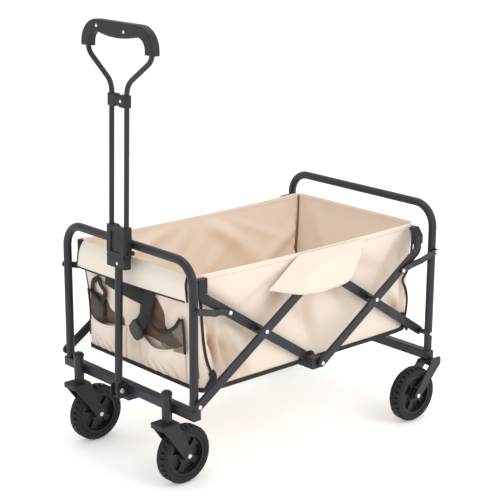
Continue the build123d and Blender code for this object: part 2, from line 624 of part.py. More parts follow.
# ---------------------------------------------------------------- rear frame
def build_rear_frame():
    nodes["rear_hoop"] = pivot_holes(hoop(POST_X, REAR_POST_Y, REAR_BEAM_TOP, REAR_HOOP_TOP), POST_X)
    nodes["rear_crossbar"] = beam(POST_X, REAR_POST_Y + TUBE_R, REAR_BEAM_BOTTOM)
    y_out = REAR_POST_Y + TUBE_R
    bolt_in = INNER_Y - BAR_T / 2 - SEAT_GAP
    foot = rivet(POST_X, FOOT_Z, bolt_in, y_out) + \
        rod_y(POST_X, FOOT_Z, INNER_FACE + SEAT_GAP, REAR_POST_Y - TUBE_R + 1, 7)
    foot -= rod_z(POST_X, REAR_POST_Y, 0, 400, TUBE_R) - rod_y(POST_X, FOOT_Z, 0, 400, PIN_R)
    link = rivet(POST_X, LINK_POST_Z, REAR_POST_Y - TUBE_R,
                 y_out + POST_GAP + LINK_T + SEAT_GAP, inner_head=False)
    nodes["rear_pivot_bolts"] = Compound([foot, mirrored(foot), link, mirrored(link)])


def build_rear_wheels():
    crown_low = REAR_BEAM_BOTTOM - 9
    half = FORK_INSIDE / 2 + FORK_PLATE
    x0, x1 = POST_X - BEAM / 2 - REAR_CROWN_FRONT, CART_REAR
    for side, word in ((1, "left"), (-1, "right")):
        fork = box(x0, x1, REAR_WHEEL_Y - half, REAR_WHEEL_Y + half, crown_low, REAR_BEAM_BOTTOM)
        corners = [(x0 - 4, crown_low - 4), (x0, REAR_BEAM_BOTTOM), (x1, REAR_BEAM_BOTTOM), (x1 - 2, crown_low - 2)]
        for arm in fork_arms(corners, REAR_AXLE_X, 12, REAR_WHEEL_Y):
            fork += arm
        lug = box(x0, x1, REAR_WHEEL_Y + half - FORK_PLATE, REAR_WHEEL_Y + half, crown_low, REAR_BEAM_BOTTOM + 12)
        fork += fillet(lug.edges().filter_by(Axis.Y).group_by(Axis.Z)[-1], 6)
        fork -= rod_y(REAR_AXLE_X, WHEEL_R, 0, 400, AXLE_R + PIN_CLEAR)
        nodes["rear_fork_" + word] = on_side(fork, side)
        hub = wheel_hub(REAR_AXLE_X, REAR_WHEEL_Y, AXLE_R + PIN_CLEAR)
        nodes["rear_hub_" + word] = on_side(hub, side)
        nodes["rear_tyre_" + word] = on_side(wheel_tyre(REAR_AXLE_X, REAR_WHEEL_Y), side)
    nodes["rear_axles"] = pair(axle(REAR_AXLE_X, REAR_WHEEL_Y))


# ---------------------------------------------------------------- bag
def bag_block(inset, bottom, top):
    """Rounded block of the bag's plan, drawn in by the given amount."""
    plan = RectangleRounded(2 * (BAG_HALF_X - inset), 2 * (BAG_HALF_Y - inset), BAG_CORNER_R - inset)
    return Pos(0, 0, bottom) * extrude(plan, top - bottom)


def saddle_block(gap, bottom):
    """The step over the mid cross tube, as a cutter or a void."""
    top = MID_BOTTOM_Z + CROSS_TUBE_H / 2 + gap
    return box(CROSS_TUBE_FRONT - gap - 3, CROSS_TUBE_REAR + gap + 3, -300, 300, bottom, top)


def build_bag():
    shell = bag_block(0, BAG_BOTTOM, BAG_TOP) - bag_block(BAG_WALL, BAG_BOTTOM + BAG_WALL, BAG_TOP)
    step = saddle_block(BAG_GAP + BAG_WALL, BAG_BOTTOM)
    shell += step & bag_block(0, BAG_BOTTOM, BAG_TOP)
    shell -= saddle_block(BAG_GAP, 0)
    nodes["bag_shell"] = shell


def build_floor_boards():
    """Four stiff boards on the bag's floor, hinged to each other by the fabric."""
    z0 = MID_BOTTOM_Z + CROSS_TUBE_H / 2 + BAG_GAP + BAG_WALL + 0.3
    half_y = BAG_HALF_Y - BAG_WALL - 6
    inner_x = BAG_HALF_X - BAG_WALL - 6
    width = (2 * inner_x - 3 * BOARD_GAP) / 4
    boards = []
    for i in range(4):
        x0 = -inner_x + i * (width + BOARD_GAP)
        board = box(x0, x0 + width, -half_y, half_y, z0, z0 + BOARD_T)
        boards.append(fillet(board.edges().filter_by(Axis.Z), 8))
    nodes["floor_boards"] = Compound(boards)


def build_front_band():
    """Top edge of the front panel, folded over outwards."""
    x1 = -BAG_HALF_X - BAND_STAND_OFF
    half = FRONT_POST_Y - TUBE_R - 6
    band = box(x1 - BAND_T, x1, -half, half, BAG_TOP - BAND_DROP, BAG_TOP)
    fold = box(x1 - BAND_T, -BAG_HALF_X, -BAG_HALF_Y + BAG_CORNER_R, BAG_HALF_Y - BAG_CORNER_R,
               BAG_TOP - BAND_T, BAG_TOP)
    nodes["front_band"] = band + fold


def build_side_flaps():
    """Fabric hood over each upper mid pivot, open at its ends and below."""
    y_out = OUTER_FACE + SEAT_GAP + HEAD_T + 2
    y_in = BAG_HALF_Y + 0.5
    roof = BAG_TOP - 6
    section = make_face(Polyline((y_in, roof), (y_out, roof - 16), (y_out, FLAP_BOTTOM), (y_out + 2, FLAP_BOTTOM),
                                 (y_out + 2, roof - 14), (y_in, roof + 3), (y_in, roof)))
    plane = Plane(origin=(-FLAP_HALF_X, 0, 0), x_dir=(0, 1, 0), z_dir=(1, 0, 0))
    nodes["side_flaps"] = pair(extrude(plane * section, 2 * FLAP_HALF_X))


def build_pockets():
    """Two drink pockets standing out from the front panel, open at the top."""
    x1 = -BAG_HALF_X - 0.5
    for side, word in ((1, "left"), (-1, "right")):
        y0, y1 = POCKET_Y - POCKET_W / 2, POCKET_Y + POCKET_W / 2
        pocket = box(x1 - POCKET_DEPTH, x1, y0, y1, POCKET_BOTTOM, POCKET_RIM)
        pocket = fillet(pocket.edges().filter_by(Axis.Z).group_by(Axis.X)[0], 14)
        pocket -= box(x1 - POCKET_DEPTH + 2, x1 - 2, y0 + 2, y1 - 2, POCKET_BOTTOM + 2, POCKET_RIM)
        nodes["drink_pocket_" + word] = on_side(pocket, side)


def build_corner_straps():
    """Webbing loops from the bag's bottom corners towards the foot pivots."""
    straps = []
    z0 = BAG_BOTTOM + 4
    for end in (-1, 1):
        x_in = end * (BAG_HALF_X - BAG_CORNER_R - 8)
        x_out = end * (POST_X - 10)
        y = BAG_HALF_Y + 0.6
        strap = box(min(x_in, x_out), max(x_in, x_out), y, y + STRAP_T, z0, z0 + STRAP_W)
        straps += [strap, mirrored(strap)]
    nodes["corner_straps"] = Compound(straps)


# ---------------------------------------------------------------- build and write
for build in (build_front_frame, build_sockets, build_handle_bracket, build_mast, build_clip_block,
              build_loop, build_grip, build_handle_fasteners, build_casters, build_side_bars,
              build_bar_fittings, build_cross_tube, build_links, build_rear_frame, build_rear_wheels,
              build_bag, build_floor_boards, build_front_band, build_side_flaps, build_pockets,
              build_corner_straps):
    build()

os.makedirs("parts", exist_ok=True)
for name, shape in nodes.items():
    export_step(Pos(-BOX_CENTRE_X, 0, 0) * shape, f"parts/{name}.step")
print(len(nodes), "nodes written")
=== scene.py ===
import math

import bpy
import numpy as np
from mathutils import Matrix, Vector, noise


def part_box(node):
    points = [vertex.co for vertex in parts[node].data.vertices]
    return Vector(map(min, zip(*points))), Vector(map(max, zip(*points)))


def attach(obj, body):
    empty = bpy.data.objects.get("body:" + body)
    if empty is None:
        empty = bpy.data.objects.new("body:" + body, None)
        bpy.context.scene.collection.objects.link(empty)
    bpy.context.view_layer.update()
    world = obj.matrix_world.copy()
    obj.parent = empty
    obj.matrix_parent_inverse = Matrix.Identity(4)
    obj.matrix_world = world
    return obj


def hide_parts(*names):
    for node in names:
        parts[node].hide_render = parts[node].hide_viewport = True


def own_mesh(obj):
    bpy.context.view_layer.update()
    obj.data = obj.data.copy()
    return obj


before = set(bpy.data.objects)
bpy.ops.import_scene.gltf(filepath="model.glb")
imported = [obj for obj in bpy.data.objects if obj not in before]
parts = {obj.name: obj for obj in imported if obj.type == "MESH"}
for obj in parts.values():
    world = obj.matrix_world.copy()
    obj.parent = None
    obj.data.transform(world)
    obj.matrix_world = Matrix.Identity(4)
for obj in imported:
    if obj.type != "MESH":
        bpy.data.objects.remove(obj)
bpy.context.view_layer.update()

# ------------------------------------------------------------------ hoops, crossbars, side bars
# Steel tube and flat-oval bar, bent and drilled before it is powder coated in satin charcoal.
# The coat has a fine orange peel, and its tone varies a little from place to place.


class Tap:
    """A value inside a finish. Sums on it add Math nodes."""

    def __init__(self, finish, link):
        self.finish = finish
        self.link = link

    def maths(self, operation, first, second):
        return self.finish.node("ShaderNodeMath", {"operation": operation}, {0: first, 1: second})

    def __add__(self, other):
        return self.maths("ADD", self, other)

    def __sub__(self, other):
        return self.maths("SUBTRACT", self, other)

    def __rsub__(self, other):
        return self.maths("SUBTRACT", other, self)

    def __mul__(self, other):
        return self.maths("MULTIPLY", self, other)

    def __gt__(self, other):
        return self.maths("GREATER_THAN", self, other)

    def sine(self):
        return self.maths("SINE", self, 0.0)

    def __abs__(self):
        return self.maths("ABSOLUTE", self, 0.0)

    __radd__ = __add__
    __rmul__ = __mul__


class Finish:
    """A material under the part's own name for it, with its shader's main values set."""

    def __init__(self, name, colour, roughness, metallic=0.0):
        self.material = bpy.data.materials.new(name)
        self.material.use_nodes = True
        self.tree = self.material.node_tree
        self.shader = self.tree.nodes["Principled BSDF"]
        self.material.diffuse_color = (*colour, 1.0)
        self.set("Base Color", (*colour, 1.0))
        self.set("Roughness", roughness)
        self.set("Metallic", metallic)

    def put(self, socket, value):
        if isinstance(value, Tap):
            self.tree.links.new(value.link, socket)
        else:
            socket.default_value = value

    def set(self, name, value):
        self.put(self.shader.inputs[name], value)

    def node(self, kind, settings=None, values=None, out=0):
        made = self.tree.nodes.new(kind)
        for key, value in (settings or {}).items():
            setattr(made, key, value)
        for key, value in (values or {}).items():
            self.put(made.inputs[key], value)
        return Tap(self, made.outputs[out])

    def place(self, stretch=(1.0, 1.0, 1.0)):
        """Position on the piece in metres, stretched along each axis."""
        spot = self.node("ShaderNodeTexCoord", out="Object")
        return self.node("ShaderNodeMapping", None, {"Vector": spot, "Scale": stretch})

    def cloud(self, scale, detail=3.0, stretch=(1.0, 1.0, 1.0)):
        return self.node("ShaderNodeTexNoise", None,
                         {"Vector": self.place(stretch), "Scale": scale, "Detail": detail})

    def blend_colours(self, factor, low, high):
        return self.node("ShaderNodeMix", {"data_type": "RGBA"},
                         {"Factor": factor, 6: (*low, 1.0), 7: (*high, 1.0)}, out=2)

    def relief(self, height, distance, strength=1.0):
        self.set("Normal", self.node("ShaderNodeBump", None,
                                     {"Height": height, "Distance": distance, "Strength": strength}))


def paint(finish, *names):
    for name in names:
        mesh = parts[name].data
        mesh.materials.clear()
        mesh.materials.append(finish.material)


def both(*stems):
    return [stem + side for stem in stems for side in ("_left", "_right")]


COAT_DARK = (0.0145, 0.0140, 0.0205)
COAT_LIGHT = (0.026, 0.025, 0.035)
coat = Finish("charcoal_powder_coat", COAT_DARK, 0.42)
coat.set("Base Color", coat.blend_colours(coat.cloud(9.0), COAT_DARK, COAT_LIGHT))
coat.set("Roughness", coat.cloud(40.0) * 0.16 + 0.32)
coat.set("Specular IOR Level", 0.38)
coat.relief(coat.cloud(1400.0, 1.0), 0.0002, 0.5)
paint(coat, "front_hoop", "rear_hoop", "front_crossbar", "rear_crossbar", "mast_tube", "loop_tube",
      "handle_bracket", "mid_cross_tube",
      *both("front_foot_bar", "front_rising_bar", "rear_foot_bar", "rear_rising_bar", "caster_socket",
            "rear_fork"))

# ------------------------------------------------------------------ rivets, bolts and axle ends
# Zinc-plated steel heads, set by a press and left bright. Their faces carry fine turning rings.
zinc = Finish("bright_zinc", (0.74, 0.74, 0.76), 0.26, 1.0)
zinc.set("Base Color", zinc.blend_colours(zinc.cloud(60.0), (0.62, 0.62, 0.65), (0.86, 0.86, 0.88)))
zinc.set("Roughness", zinc.cloud(300.0) * 0.2 + 0.2)
zinc.relief(zinc.cloud(900.0, 2.0, (1.0, 0.2, 1.0)), 0.0001, 0.4)
paint(zinc, "handle_hinge_bolt", "rear_axles", "mid_bottom_bolts", "handle_fasteners", *both("caster_bolts"))

# The crossing rivets are bright only at their heads: the spacers between the bars are painted.
headed = Finish("rivet_over_painted_spacer", (0.74, 0.74, 0.76), 0.3)
bar_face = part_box("front_foot_bar_left")[1].y - 0.0005
place = headed.node("ShaderNodeSeparateXYZ", None, {0: headed.place()})
bright = abs(Tap(headed, place.link.node.outputs[1])) > bar_face
headed.set("Base Color", headed.blend_colours(bright, COAT_DARK, (0.76, 0.76, 0.78)))
headed.set("Metallic", bright * 1.0)
headed.relief(headed.cloud(900.0, 2.0, (1.0, 0.2, 1.0)), 0.0001, 0.4)
paint(headed, "front_cross_rivets", "rear_cross_rivets", "mid_top_pins", "front_pivot_bolts",
      "rear_pivot_bolts")

# Each short link is painted with its rivet already set, and the rivet's head is left bright.
LINK_RIVET = (0.2948, 0.4401)   # from the middle of the cart, and height
link_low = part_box("front_link_left")[0].x
link_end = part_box("rear_link_left")[1].x
cart_middle = (link_low + link_end) / 2
for end, word in ((-1, "front"), (1, "rear")):
    link = Finish(f"{word}_link_coat", COAT_DARK, 0.36)
    here = link.node("ShaderNodeSeparateXYZ", None, {0: link.place()})
    run = Tap(link, here.link.node.outputs[0]) - (cart_middle + end * LINK_RIVET[0])
    rise = Tap(link, here.link.node.outputs[2]) - LINK_RIVET[1]
    bright = (run * run + rise * rise) * -1.0 > -0.0056 ** 2
    link.set("Base Color", link.blend_colours(bright, COAT_DARK, (0.76, 0.76, 0.78)))
    link.set("Metallic", bright * 1.0)
    link.relief(link.cloud(1400.0, 1.0), 0.0002, 0.5)
    paint(link, *both(f"{word}_link"))

# ------------------------------------------------------------------ moulded plastic fittings
# Black nylon mouldings: the two grip halves, the clip, the collar, the neck clamp, the caster
# forks and the caps. The mould is spark-eroded, so every face has a fine even grain.
MOULDED_DARK = (0.011, 0.011, 0.014)
MOULDED_LIGHT = (0.022, 0.021, 0.027)
nylon = Finish("grained_black_nylon", MOULDED_DARK, 0.5)
nylon.set("Base Color", nylon.blend_colours(nylon.cloud(14.0), MOULDED_DARK, MOULDED_LIGHT))
nylon.set("Roughness", nylon.cloud(90.0) * 0.2 + 0.38)
nylon.set("Specular IOR Level", 0.35)
nylon.relief(nylon.cloud(1100.0, 2.0), 0.0003, 0.7)
paint(nylon, "socket_caps", "clip_block", "slider_collar", "neck_clamp", "grip_front_shell",
      "grip_rear_shell", "front_corner_caps", "rear_corner_caps", *both("caster_fork"))

# ------------------------------------------------------------------ wheels
# A hard tyre with a blocked tread is moulded over a five-spoke hub. The hub is glossier than
# the tyre, which is matt and holds a little dust on its tread.
hub_plastic = Finish("wheel_hub_plastic", (0.022, 0.022, 0.026), 0.42)
hub_plastic.set("Base Color", hub_plastic.blend_colours(hub_plastic.cloud(20.0), (0.007, 0.007, 0.009),
                                                        (0.016, 0.016, 0.019)))
hub_plastic.set("Specular IOR Level", 0.35)
hub_plastic.set("Roughness", hub_plastic.cloud(50.0) * 0.22 + 0.3)
hub_plastic.relief(hub_plastic.cloud(700.0, 2.0), 0.0003, 0.5)
paint(hub_plastic, *both("front_hub", "rear_hub"))

tread = Finish("wheel_tyre", (0.016, 0.016, 0.018), 0.68)
dust = tread.cloud(35.0, 5.0)
tread.set("Base Color", tread.blend_colours(dust, (0.006, 0.006, 0.008), (0.019, 0.019, 0.022)))
tread.set("Specular IOR Level", 0.3)
tread.set("Roughness", dust * 0.25 + 0.52)
tread.relief(tread.cloud(500.0, 3.0), 0.0005, 0.6)
paint(tread, *both("front_tyre", "rear_tyre"))

# ------------------------------------------------------------------ bag walls and floor
# The bag is coated cream canvas, sewn from a floor, two sides and two ends. It hangs from the
# corner caps and the upper mid pivots, so its sides crease towards them and its bottom draws in.
middle_x = (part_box("front_hoop")[0].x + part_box("rear_hoop")[1].x) / 2
bag_low, bag_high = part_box("bag_shell")
HALF_X = (bag_high.x - bag_low.x) / 2
HALF_Y = (bag_high.y - bag_low.y) / 2
CORNER = 0.026
CLOTH = 0.0016


def canvas(name, light, dark, weave=1.0):
    """Coated canvas: a plain weave, soft mottling, fine creases, and painted shade darkening the folds."""
    cloth = Finish(name, light, 0.8)
    mottle = cloth.cloud(7.0, 4.0)
    fleck = cloth.cloud(160.0, 2.0)
    plain = cloth.blend_colours(mottle * 0.6 + fleck * 0.4, dark, light)
    # Painted shade: the fold value blends the canvas towards a darker brown in creases and along bottom
    # edges.
    fold_shade = cloth.node("ShaderNodeAttribute", {"attribute_name": "fold"}, out="Fac")
    crease_shade_colour = tuple(part * tint for part, tint in zip(dark, (0.74, 0.62, 0.50)))
    cloth.set("Base Color", cloth.node("ShaderNodeMix", {"data_type": "RGBA"},
                                       {"Factor": fold_shade, 6: plain, 7: (*crease_shade_colour, 1.0)}, out=2))
    cloth.set("Roughness", fleck * 0.15 + 0.7)
    cloth.set("Sheen Weight", 0.15)
    split = cloth.node("ShaderNodeSeparateXYZ", None, {0: cloth.place()})
    across = Tap(cloth, split.link.node.outputs[0]) + Tap(cloth, split.link.node.outputs[1])
    up = Tap(cloth, split.link.node.outputs[2])
    pitch = 2 * math.pi / 0.0016
    threads = (across * pitch).sine() * (up * pitch).sine()
    crease = cloth.cloud(16.0, 2.0, (1.0, 1.0, 0.45))
    cloth.relief(crease * 0.8 + threads * (0.012 * weave) + fleck * 0.03, 0.006, 0.55)
    return cloth


outer_cloth = canvas("cream_canvas", (0.85, 0.745, 0.645), (0.80, 0.675, 0.565))
# The inside is the same canvas, painted warmer and lighter as the light bouncing round inside the bag.
inner_cloth_painted_bounce = canvas("cream_canvas_inside_painted_bounce", (0.94, 0.81, 0.61), (0.90, 0.73, 0.51))


def hang(piece, finishes, slot_name, *replaced):
    """Gives a fabric piece its finish, and lets it ride and close up with the bag."""
    for finish in finishes:
        piece.data.materials.append(finish.material)
    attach(piece, "bag")
    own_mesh(piece)
    if replaced:
        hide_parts(*replaced)
    return piece


def make(name, points, faces, smooth=True, modifiers=(), fold_shading=None):
    """A mesh piece in the cart's frame, with its modifiers applied. The last argument gives how much
    painted shade each point takes in its folds, from 0 to 1."""
    mesh = bpy.data.meshes.new(name)
    mesh.from_pydata([tuple(map(float, p)) for p in points], [], faces)
    if fold_shading:
        mesh.attributes.new("fold", "FLOAT", "POINT").data.foreach_set("value", fold_shading)
    mesh.validate()
    piece = bpy.data.objects.new(name, mesh)
    bpy.context.scene.collection.objects.link(piece)
    for kind, settings in modifiers:
        modifier = piece.modifiers.new(kind, kind)
        for key, value in settings.items():
            setattr(modifier, key, value)
    if modifiers:
        graph = bpy.context.evaluated_depsgraph_get()
        final = bpy.data.meshes.new_from_object(piece.evaluated_get(graph))
        piece.modifiers.clear()
        piece.data = final
        bpy.data.meshes.remove(mesh)
        final.name = name
    for face in piece.data.polygons:
        face.use_smooth = smooth
    return piece


def grid_faces(rows, columns, closed=False):
    faces = []
    for r in range(rows - 1):
        for c in range(columns if closed else columns - 1):
            d = (c + 1) % columns
            faces.append((r * columns + c, r * columns + d, (r + 1) * columns + d, (r + 1) * columns + c))
    return faces


def thick(thickness, offset=-1.0, inner=0):
    return ("SOLIDIFY", {"thickness": thickness, "offset": offset, "material_offset": inner,
                         "use_quality_normals": True})


ROUNDED = ("SUBSURF", {"levels": 1, "render_levels": 1})


def wall_outline():
    """Points round the bag's plan with their outward directions, from the front near corner."""
    spots = []
    flat_x, flat_y = HALF_X - CORNER, HALF_Y - CORNER

    def round_corner(side, degrees):
        """Five spots round the rear corner on that side."""
        for angle in np.linspace(*degrees, 5):
            nx, ny = math.cos(math.radians(angle)), math.sin(math.radians(angle))
            spots.append((flat_x + CORNER * nx, side * flat_y + CORNER * ny, nx, ny))

    for x in np.linspace(-flat_x, flat_x, 150):
        spots.append((x, -HALF_Y, 0, -1))
    round_corner(-1, (-80, -10))
    for y in np.linspace(-flat_y, flat_y, 80):
        spots.append((HALF_X, y, 1, 0))
    round_corner(1, (10, 80))
    half = [(-x, -y, -nx, -ny) for x, y, nx, ny in spots]
    return spots + half


CREASES = (  # along the side, height, and ends of each crease on both long sides; depth and width
    (-0.36, 0.50, -0.20, 0.36, 0.006, 0.020), (-0.05, 0.50, -0.22, 0.33, 0.005, 0.024),
    (0.02, 0.51, 0.15, 0.36, 0.005, 0.022), (-0.33, 0.36, -0.28, 0.27, 0.008, 0.014),
    (-0.30, 0.40, -0.24, 0.28, 0.006, 0.016), (-0.10, 0.46, 0.04, 0.31, 0.004, 0.026),
    (0.36, 0.52, 0.22, 0.34, 0.006, 0.022), (0.30, 0.36, 0.37, 0.27, 0.006, 0.016),
    (-0.02, 0.53, -0.13, 0.43, 0.004, 0.018), (0.05, 0.53, 0.24, 0.46, 0.004, 0.020),
    (-0.325, 0.42, -0.318, 0.28, 0.012, 0.009), (-0.300, 0.37, -0.262, 0.265, 0.010, 0.010),
    (-0.345, 0.46, -0.338, 0.36, 0.007, 0.008), (-0.255, 0.33, -0.215, 0.262, 0.007, 0.012),
    (0.352, 0.47, 0.374, 0.30, 0.007, 0.010), (-0.02, 0.50, 0.02, 0.28, 0.005, 0.016),
    (-0.350, 0.43, -0.300, 0.268, 0.006, 0.006), (-0.312, 0.385, -0.330, 0.262, 0.005, 0.006),
    (-0.285, 0.345, -0.235, 0.258, 0.005, 0.007), (-0.372, 0.52, -0.300, 0.405, 0.003, 0.010),
    (0.340, 0.33, 0.362, 0.258, 0.005, 0.006), (-0.08, 0.52, -0.30, 0.40, 0.002, 0.012),
    (0.08, 0.52, 0.31, 0.42, 0.002, 0.014),
)
CREASE_GAIN = 2.4       # all creases are this much deeper than their entries
END_CREASES = (  # across the cart, height, ends, depth and width, on both end walls
    (0.048, 0.37, 0.030, 0.262, 0.005, 0.008), (0.012, 0.35, 0.004, 0.262, 0.005, 0.009),
    (-0.026, 0.33, -0.012, 0.262, 0.004, 0.007), (-0.17, 0.50, -0.04, 0.33, 0.002, 0.020),
    (0.17, 0.50, 0.03, 0.30, 0.002, 0.022),
)


def crease_depth(along, height, creases=CREASES):
    depth = 0.0
    for x0, z0, x1, z1, deep, width in creases:
        run = Vector((x1 - x0, z1 - z0))
        share = max(0.0, min(1.0, Vector((along - x0, height - z0)).dot(run) / run.length_squared))
        gap = math.hypot(along - x0 - share * run.x, height - z0 - share * run.y)
        taper = math.sin(math.pi * (0.15 + 0.7 * share))
        depth += CREASE_GAIN * deep * taper * math.exp(-(gap / width) ** 2)
    return depth


def creased(x, y, nx, ny, z):
    if abs(ny) > 0.5:
        clear = max(0.0, min(1.0, (0.384 - abs(x)) / 0.012))
        return clear * crease_depth(x * (1 if y < 0 else -0.8), z) if clear else 0.0
    return crease_depth(y, z, END_CREASES) if abs(nx) > 0.5 else 0.0


CREASE_SHADE = 26               # painted shade for each metre that a crease is deep
CREASE_SHADE_LEFT = 12          # the same on the left side, painted lighter
EDGE_SHADE = 0.25        # painted shade at the bottom edge


def fold_shade_at(x, y, nx, ny, share):
    """How much painted shade a spot takes: most at the bottom of a crease, and a little along the bottom
    edge.
    """
    z = BOTTOM_Z + (bag_high.z - BOTTOM_Z) * share
    # Painted shade for each metre of crease depth, lighter on the left side.
    dust = CREASE_SHADE if y < 0 or abs(nx) > 0.5 else CREASE_SHADE_LEFT
    return min(0.85, creased(x, y, nx, ny, z) * dust + EDGE_SHADE * max(0.0, 1 - share * 9))


DRAWN_IN = 0.022        # the ends' bottom edges lie this far inside their top edges
END_LIFT = 0.006        # and this much higher than the sides' bottom edges
BOTTOM_Z = 0.2465
RIM_DIP = 0.006


def wall_point(x, y, nx, ny, share):
    """A point on the bag's outside, share 0 at the bottom edge and 1 at the rim."""
    top = bag_high.z - 0.001 - RIM_DIP * abs(ny) * (1 - (x / HALF_X) ** 2)
    low = BOTTOM_Z + END_LIFT * (abs(x) / HALF_X) ** 12
    z = low + (top - low) * share
    slack = max(0.0, math.sin(math.pi * min(1.0, share * 1.15))) ** 1.2
    inward = 0.0015 + 0.004 * slack * (1 + noise.noise(Vector((x * 7, y * 7, z * 6))))
    inward += creased(x, y, nx, ny, z) * min(1.0, share * 7) * min(1.0, (1 - share) * 6)
    if abs(nx) > 0.5:
        inward += 0.004 * slack * (1 + noise.noise(Vector((3 + y * 11, z * 9, x))))
    taper = DRAWN_IN * max(0.0, 1 - share) ** 1.8 * (abs(x) / HALF_X) ** 6
    return Vector((middle_x + x - nx * inward - math.copysign(taper, x), y - ny * inward, z))


outline = wall_outline()
WALL_ROWS = 54
wall_points = [wall_point(*spot, r / (WALL_ROWS - 1)) for r in range(WALL_ROWS) for spot in outline]
# Painted shade for each wall point, from its creases and the bottom edge.
wall_fold_shading = [fold_shade_at(*spot, r / (WALL_ROWS - 1)) for r in range(WALL_ROWS) for spot in outline]
walls = make("bag_walls", wall_points, grid_faces(WALL_ROWS, len(outline), True),
             modifiers=(thick(CLOTH, -1.0, 1),), fold_shading=wall_fold_shading)
hang(walls, (outer_cloth, inner_cloth_painted_bounce), "cream_fabric", "bag_shell")

tube_low, tube_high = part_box("mid_cross_tube")
STEP_SLOPE = 0.010


def floor_height(x):
    """The floor lies on its boards, and steps up over the mid cross tube."""
    near = max(tube_low.x - x, x - tube_high.x, 0.0)
    lift = max(0.0, 1 - near / STEP_SLOPE)
    return BOTTOM_Z + (tube_high.z + 0.0014 - BOTTOM_Z) * lift


bottom_ring = [wall_point(*spot, 0.0) for spot in outline]
RINGS = 12
floor_points = []
for r in range(RINGS + 1):
    scale = 1 - r / (RINGS + 0.5)
    for p in bottom_ring:
        floor_points.append((p.x, p.y * scale, max(p.z, floor_height(p.x))))
lie = make("bag_floor", floor_points, grid_faces(RINGS + 1, len(outline), True),
           modifiers=(thick(CLOTH, 0.0, 1),))
hang(lie, (outer_cloth, inner_cloth_painted_bounce), "cream_fabric")

# ------------------------------------------------------------------ floor boards
# Four stiff boards in one sewn cover keep the floor flat. The cover is stitched between the
# boards, so it folds there, and each board's top is slightly crowned by its felt.
board_low, board_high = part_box("floor_boards")
BOARDS = 4
BOARD_ROUND = 0.007     # how far in from its edges a board is rounded
BOARD_CLEAR = 0.0008
BOARD_CROWN = 0.0045
board_points, board_faces = [], []
MAT_HALF_X = HALF_X - DRAWN_IN - 0.003
board_width = 2 * MAT_HALF_X / BOARDS
for b in range(BOARDS):
    start = len(board_points)
    for y in np.linspace(board_low.y, board_high.y, 25):
        for s in np.linspace(0, 1, 15):
            x = middle_x - MAT_HALF_X + (b + s) * board_width
            edge = min(s, 1 - s) * board_width
            edge_y = min(y - board_low.y, board_high.y - y)
            crown = 1 - math.exp(-min(edge, edge_y) / BOARD_ROUND)
            board_points.append((x, y, board_low.z + BOARD_CLEAR + BOARD_CROWN * crown))
    board_faces += [tuple(start + i for i in f) for f in grid_faces(25, 15)]
boards = make("floor_mat", board_points, board_faces,
              modifiers=(("WELD", {"merge_threshold": 0.0002}), ROUNDED))
hang(boards, (inner_cloth_painted_bounce,), "board", "floor_boards")

# ------------------------------------------------------------------ bound edges
# Black grosgrain tape is folded over the seams: round the bottom, and down the four seams
# where the ends meet the sides. Under load the upright seams bow.
webbing_black = Finish("black_webbing", (0.014, 0.013, 0.014), 0.75)
rib = webbing_black.node("ShaderNodeSeparateXYZ", None, {0: webbing_black.place()})
ribs = [Tap(webbing_black, rib.link.node.outputs[i]) for i in range(3)]
weave = ((ribs[0] + ribs[1] + ribs[2]) * 3600.0).sine()
webbing_black.set("Base Color", webbing_black.blend_colours(webbing_black.cloud(120.0) * 0.7 + weave * 0.15,
                                                            (0.010, 0.009, 0.010), (0.030, 0.028, 0.029)))
webbing_black.relief(weave * 0.5 + webbing_black.cloud(600.0), 0.0005, 0.6)


def smooth_path(points, steps):
    """Evenly stepped points on a smooth line through the given ones."""
    spots = [Vector(p) for p in points]
    spots = [2 * spots[0] - spots[1]] + spots + [2 * spots[-1] - spots[-2]]
    line = []
    for i in range(1, len(spots) - 2):
        a, b, c, d = spots[i - 1:i + 3]
        for s in range(steps):
            t = s / steps
            line.append(0.5 * ((2 * b) + (c - a) * t + (2 * a - 5 * b + 4 * c - d) * t * t
                               + (3 * b - a - 3 * c + d) * t ** 3))
    line.append(spots[-2])
    return line


def tape(name, points, width, thickness, facing, steps=6, closed=False):
    """A flat tape or strap along a smooth line, its face turned towards facing."""
    line = points if closed else smooth_path(points, steps)
    count = len(line)
    ring = [(-0.5, -0.5), (-0.3, -0.62), (0.3, -0.62), (0.5, -0.5), (0.5, 0.5), (0.3, 0.62), (-0.3, 0.62),
            (-0.5, 0.5)]
    mesh_points = []
    for i, spot in enumerate(line):
        ahead = line[(i + 1) % count] if closed or i + 1 < count else spot
        behind = line[i - 1] if closed or i else spot
        along = (ahead - behind).normalized()
        face = Vector(facing(spot)) if callable(facing) else Vector(facing)
        across = along.cross(face).normalized()
        out = across.cross(along).normalized()
        for u, v in ring:
            mesh_points.append(spot + across * (u * width) + out * (v * thickness))
    faces = grid_faces(count, 8, True)
    if closed:
        faces += [tuple((count - 1) * 8 + i for i in (j, (j + 1) % 8))
                  + tuple(((j + 1) % 8, j)) for j in range(8)]
    else:
        faces += [tuple(reversed(range(8))), tuple((count - 1) * 8 + j for j in range(8))]
    return make(name, mesh_points, faces)


def outward(spot):
    x, y = spot.x - middle_x, spot.y
    if abs(x) > HALF_X - CORNER * 2.2 and abs(y) > HALF_Y - CORNER * 2.2:
        return Vector((math.copysign(1, x), math.copysign(1, y), 0)).normalized()
    return Vector((math.copysign(1, x), 0, 0)) if abs(x) / HALF_X > abs(y) / HALF_Y * 0.93 \
        else Vector((0, math.copysign(1, y), 0))


BINDING = 0.0115        # widths of the tapes
SEAM_TAPE = 0.0070
CORNER_TAPE = 0.0062
TAPE_THICK = 0.0028

bottom_path = [p + Vector((0, 0, max(0.0, floor_height(p.x) - p.z) - 0.0005)) + outward(p) * 0.0006
               for p in bottom_ring]
hang(tape("bottom_binding", bottom_path, BINDING, TAPE_THICK, outward, closed=True),
     (webbing_black,), "dark_fabric")

